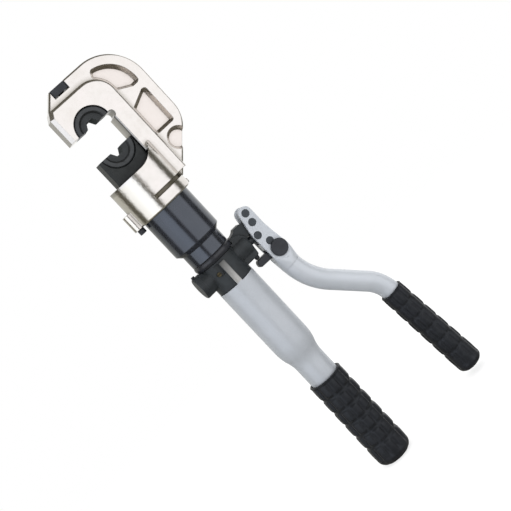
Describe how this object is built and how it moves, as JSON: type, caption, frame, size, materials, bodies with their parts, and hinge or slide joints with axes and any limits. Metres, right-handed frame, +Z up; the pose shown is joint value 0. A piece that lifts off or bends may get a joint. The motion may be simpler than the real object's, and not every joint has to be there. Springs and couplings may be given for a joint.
{
  "type": "hydraulic crimping tool",
  "caption": "Hand hydraulic crimping tool: open C-head with paired U-shaped dies, ram cylinder, pump body with a fixed oil-filled handle and a bent pumping handle hinged on a fork.",
  "frame": {"origin": "centre of the flat end of the fixed grip, on the ram axis", "axes": "+Z up along the ram axis with the head at the top, +X from the fixed handle towards the moving handle, -Y towards the main face"},
  "size_m": [0.2058, 0.076, 0.5775],
  "materials": {
    "plated_steel": "satin nickel-plated forging",
    "die_steel": "black oxide, satin",
    "cylinder_black": "gloss black",
    "body_black": "satin black",
    "black_parts": "smooth satin black",
    "pin_steel": "blackened steel",
    "bright_steel": "ground",
    "spring_steel": "drawn wire",
    "bronze": "machined",
    "handle_grey": "light grey metallic paint",
    "grip_rubber": "matt black rubber",
    "seal_rubber": "matt"
  },
  "bodies": {
    "pump": {"pump_body": "body_black", "swivel_collar": "cylinder_black", "swivel_clip": "spring_steel", "swivel_seal": "seal_rubber", "valve_plug": "body_black", "plug_stub": "black_parts", "relief_screw": "bronze", "delivery_spring": "spring_steel", "delivery_screw": "bronze", "suction_seat": "bronze", "suction_filter": "bronze", "gland_nut": "black_parts", "plunger_seal": "seal_rubber", "fixed_tube": "handle_grey", "oil_bladder": "seal_rubber", "reservoir_plug": "bright_steel", "main_grip": "grip_rubber"},
    "head": {"head_frame": "plated_steel", "cylinder": "cylinder_black", "lock_screw": "black_parts", "button_spring": "spring_steel", "upper_detent_spring": "spring_steel", "guide_bush": "bronze", "rod_wiper": "seal_rubber", "return_spring": "spring_steel"},
    "ram": {"die_holder": "die_steel", "piston_rod": "bright_steel", "piston_seal": "seal_rubber", "holder_screw": "pin_steel", "lower_detent_spring": "spring_steel"},
    "button": {"die_release_button": "black_parts"},
    "upper_die_body": {"upper_die": "die_steel"},
    "lower_die_body": {"lower_die": "die_steel"},
    "upper_ball": {"upper_detent_ball": "bright_steel"},
    "lower_ball": {"lower_detent_ball": "bright_steel"},
    "handle": {"handle_fork": "handle_grey", "handle_tube": "handle_grey", "moving_grip": "grip_rubber", "fulcrum_pin": "pin_steel", "plunger_pin": "pin_steel", "stop_pin": "pin_steel", "fork_rivet": "pin_steel", "pin_clips": "pin_steel"},
    "plunger": {"pump_plunger": "pin_steel"},
    "lever": {"release_lever": "black_parts", "lever_axle": "black_parts"},
    "release": {"release_pin": "black_parts"},
    "delivery": {"delivery_ball": "bright_steel"},
    "suction": {"suction_ball": "bright_steel"}
  },
  "joints": [
    {"name": "head_swivel", "type": "hinge", "parent": "pump", "child": "head", "pos_m": [0, 0, 0.33], "axis": [0, 0, 1], "range_deg": [-90, 90]},
    {"name": "ram_slide", "type": "slide", "parent": "head", "child": "ram", "axis": [0, 0, 1], "range_m": [0, 0.0352], "deforming": ["return_spring"]},
    {"name": "handle_pivot", "type": "hinge", "parent": "pump", "child": "handle", "pos_m": [0.0588, 0, 0.3184], "axis": [0, -1, 0], "range_deg": [0, 45]},
    {"name": "plunger_slide", "type": "slide", "parent": "pump", "child": "plunger", "axis": [1, 0, 0], "range_m": [0, 0.0125]},
    {"name": "release_lever_swing", "type": "hinge", "parent": "handle", "child": "lever", "pos_m": [0.0624, 0, 0.2763], "axis": [0, 1, 0], "range_deg": [0, 7]},
    {"name": "release_pin_push", "type": "slide", "parent": "pump", "child": "release", "axis": [0, 0, 1], "range_m": [0, 0.0031]},
    {"name": "button_press", "type": "slide", "parent": "head", "child": "button", "axis": [0, 0, -1], "range_m": [0, 0.0015], "deforming": ["button_spring"]},
    {"name": "upper_die_removal", "type": "slide", "parent": "head", "child": "upper_die_body", "axis": [0, -1, 0], "range_m": [0, 0.036]},
    {"name": "lower_die_removal", "type": "slide", "parent": "ram", "child": "lower_die_body", "axis": [0, -1, 0], "range_m": [0, 0.036]},
    {"name": "upper_detent", "type": "slide", "parent": "head", "child": "upper_ball", "axis": [0, 0, 1], "range_m": [0, 0.0013], "deforming": ["upper_detent_spring"]},
    {"name": "lower_detent", "type": "slide", "parent": "ram", "child": "lower_ball", "axis": [0, 0, -1], "range_m": [0, 0.0013], "deforming": ["lower_detent_spring"]},
    {"name": "delivery_valve", "type": "slide", "parent": "pump", "child": "delivery", "axis": [0, 0, 1], "range_m": [0, 0.001], "deforming": ["delivery_spring"]},
    {"name": "suction_valve", "type": "slide", "parent": "pump", "child": "suction", "axis": [0, 0, 1], "range_m": [0, 0.001]}
  ],
  "couplings": [
    {"joint": "plunger_slide", "follows": "handle_pivot", "m_per_rad": 0.0159},
    {"joint": "release_pin_push", "follows": "release_lever_swing", "m_per_rad": 0.0252}
  ]
}
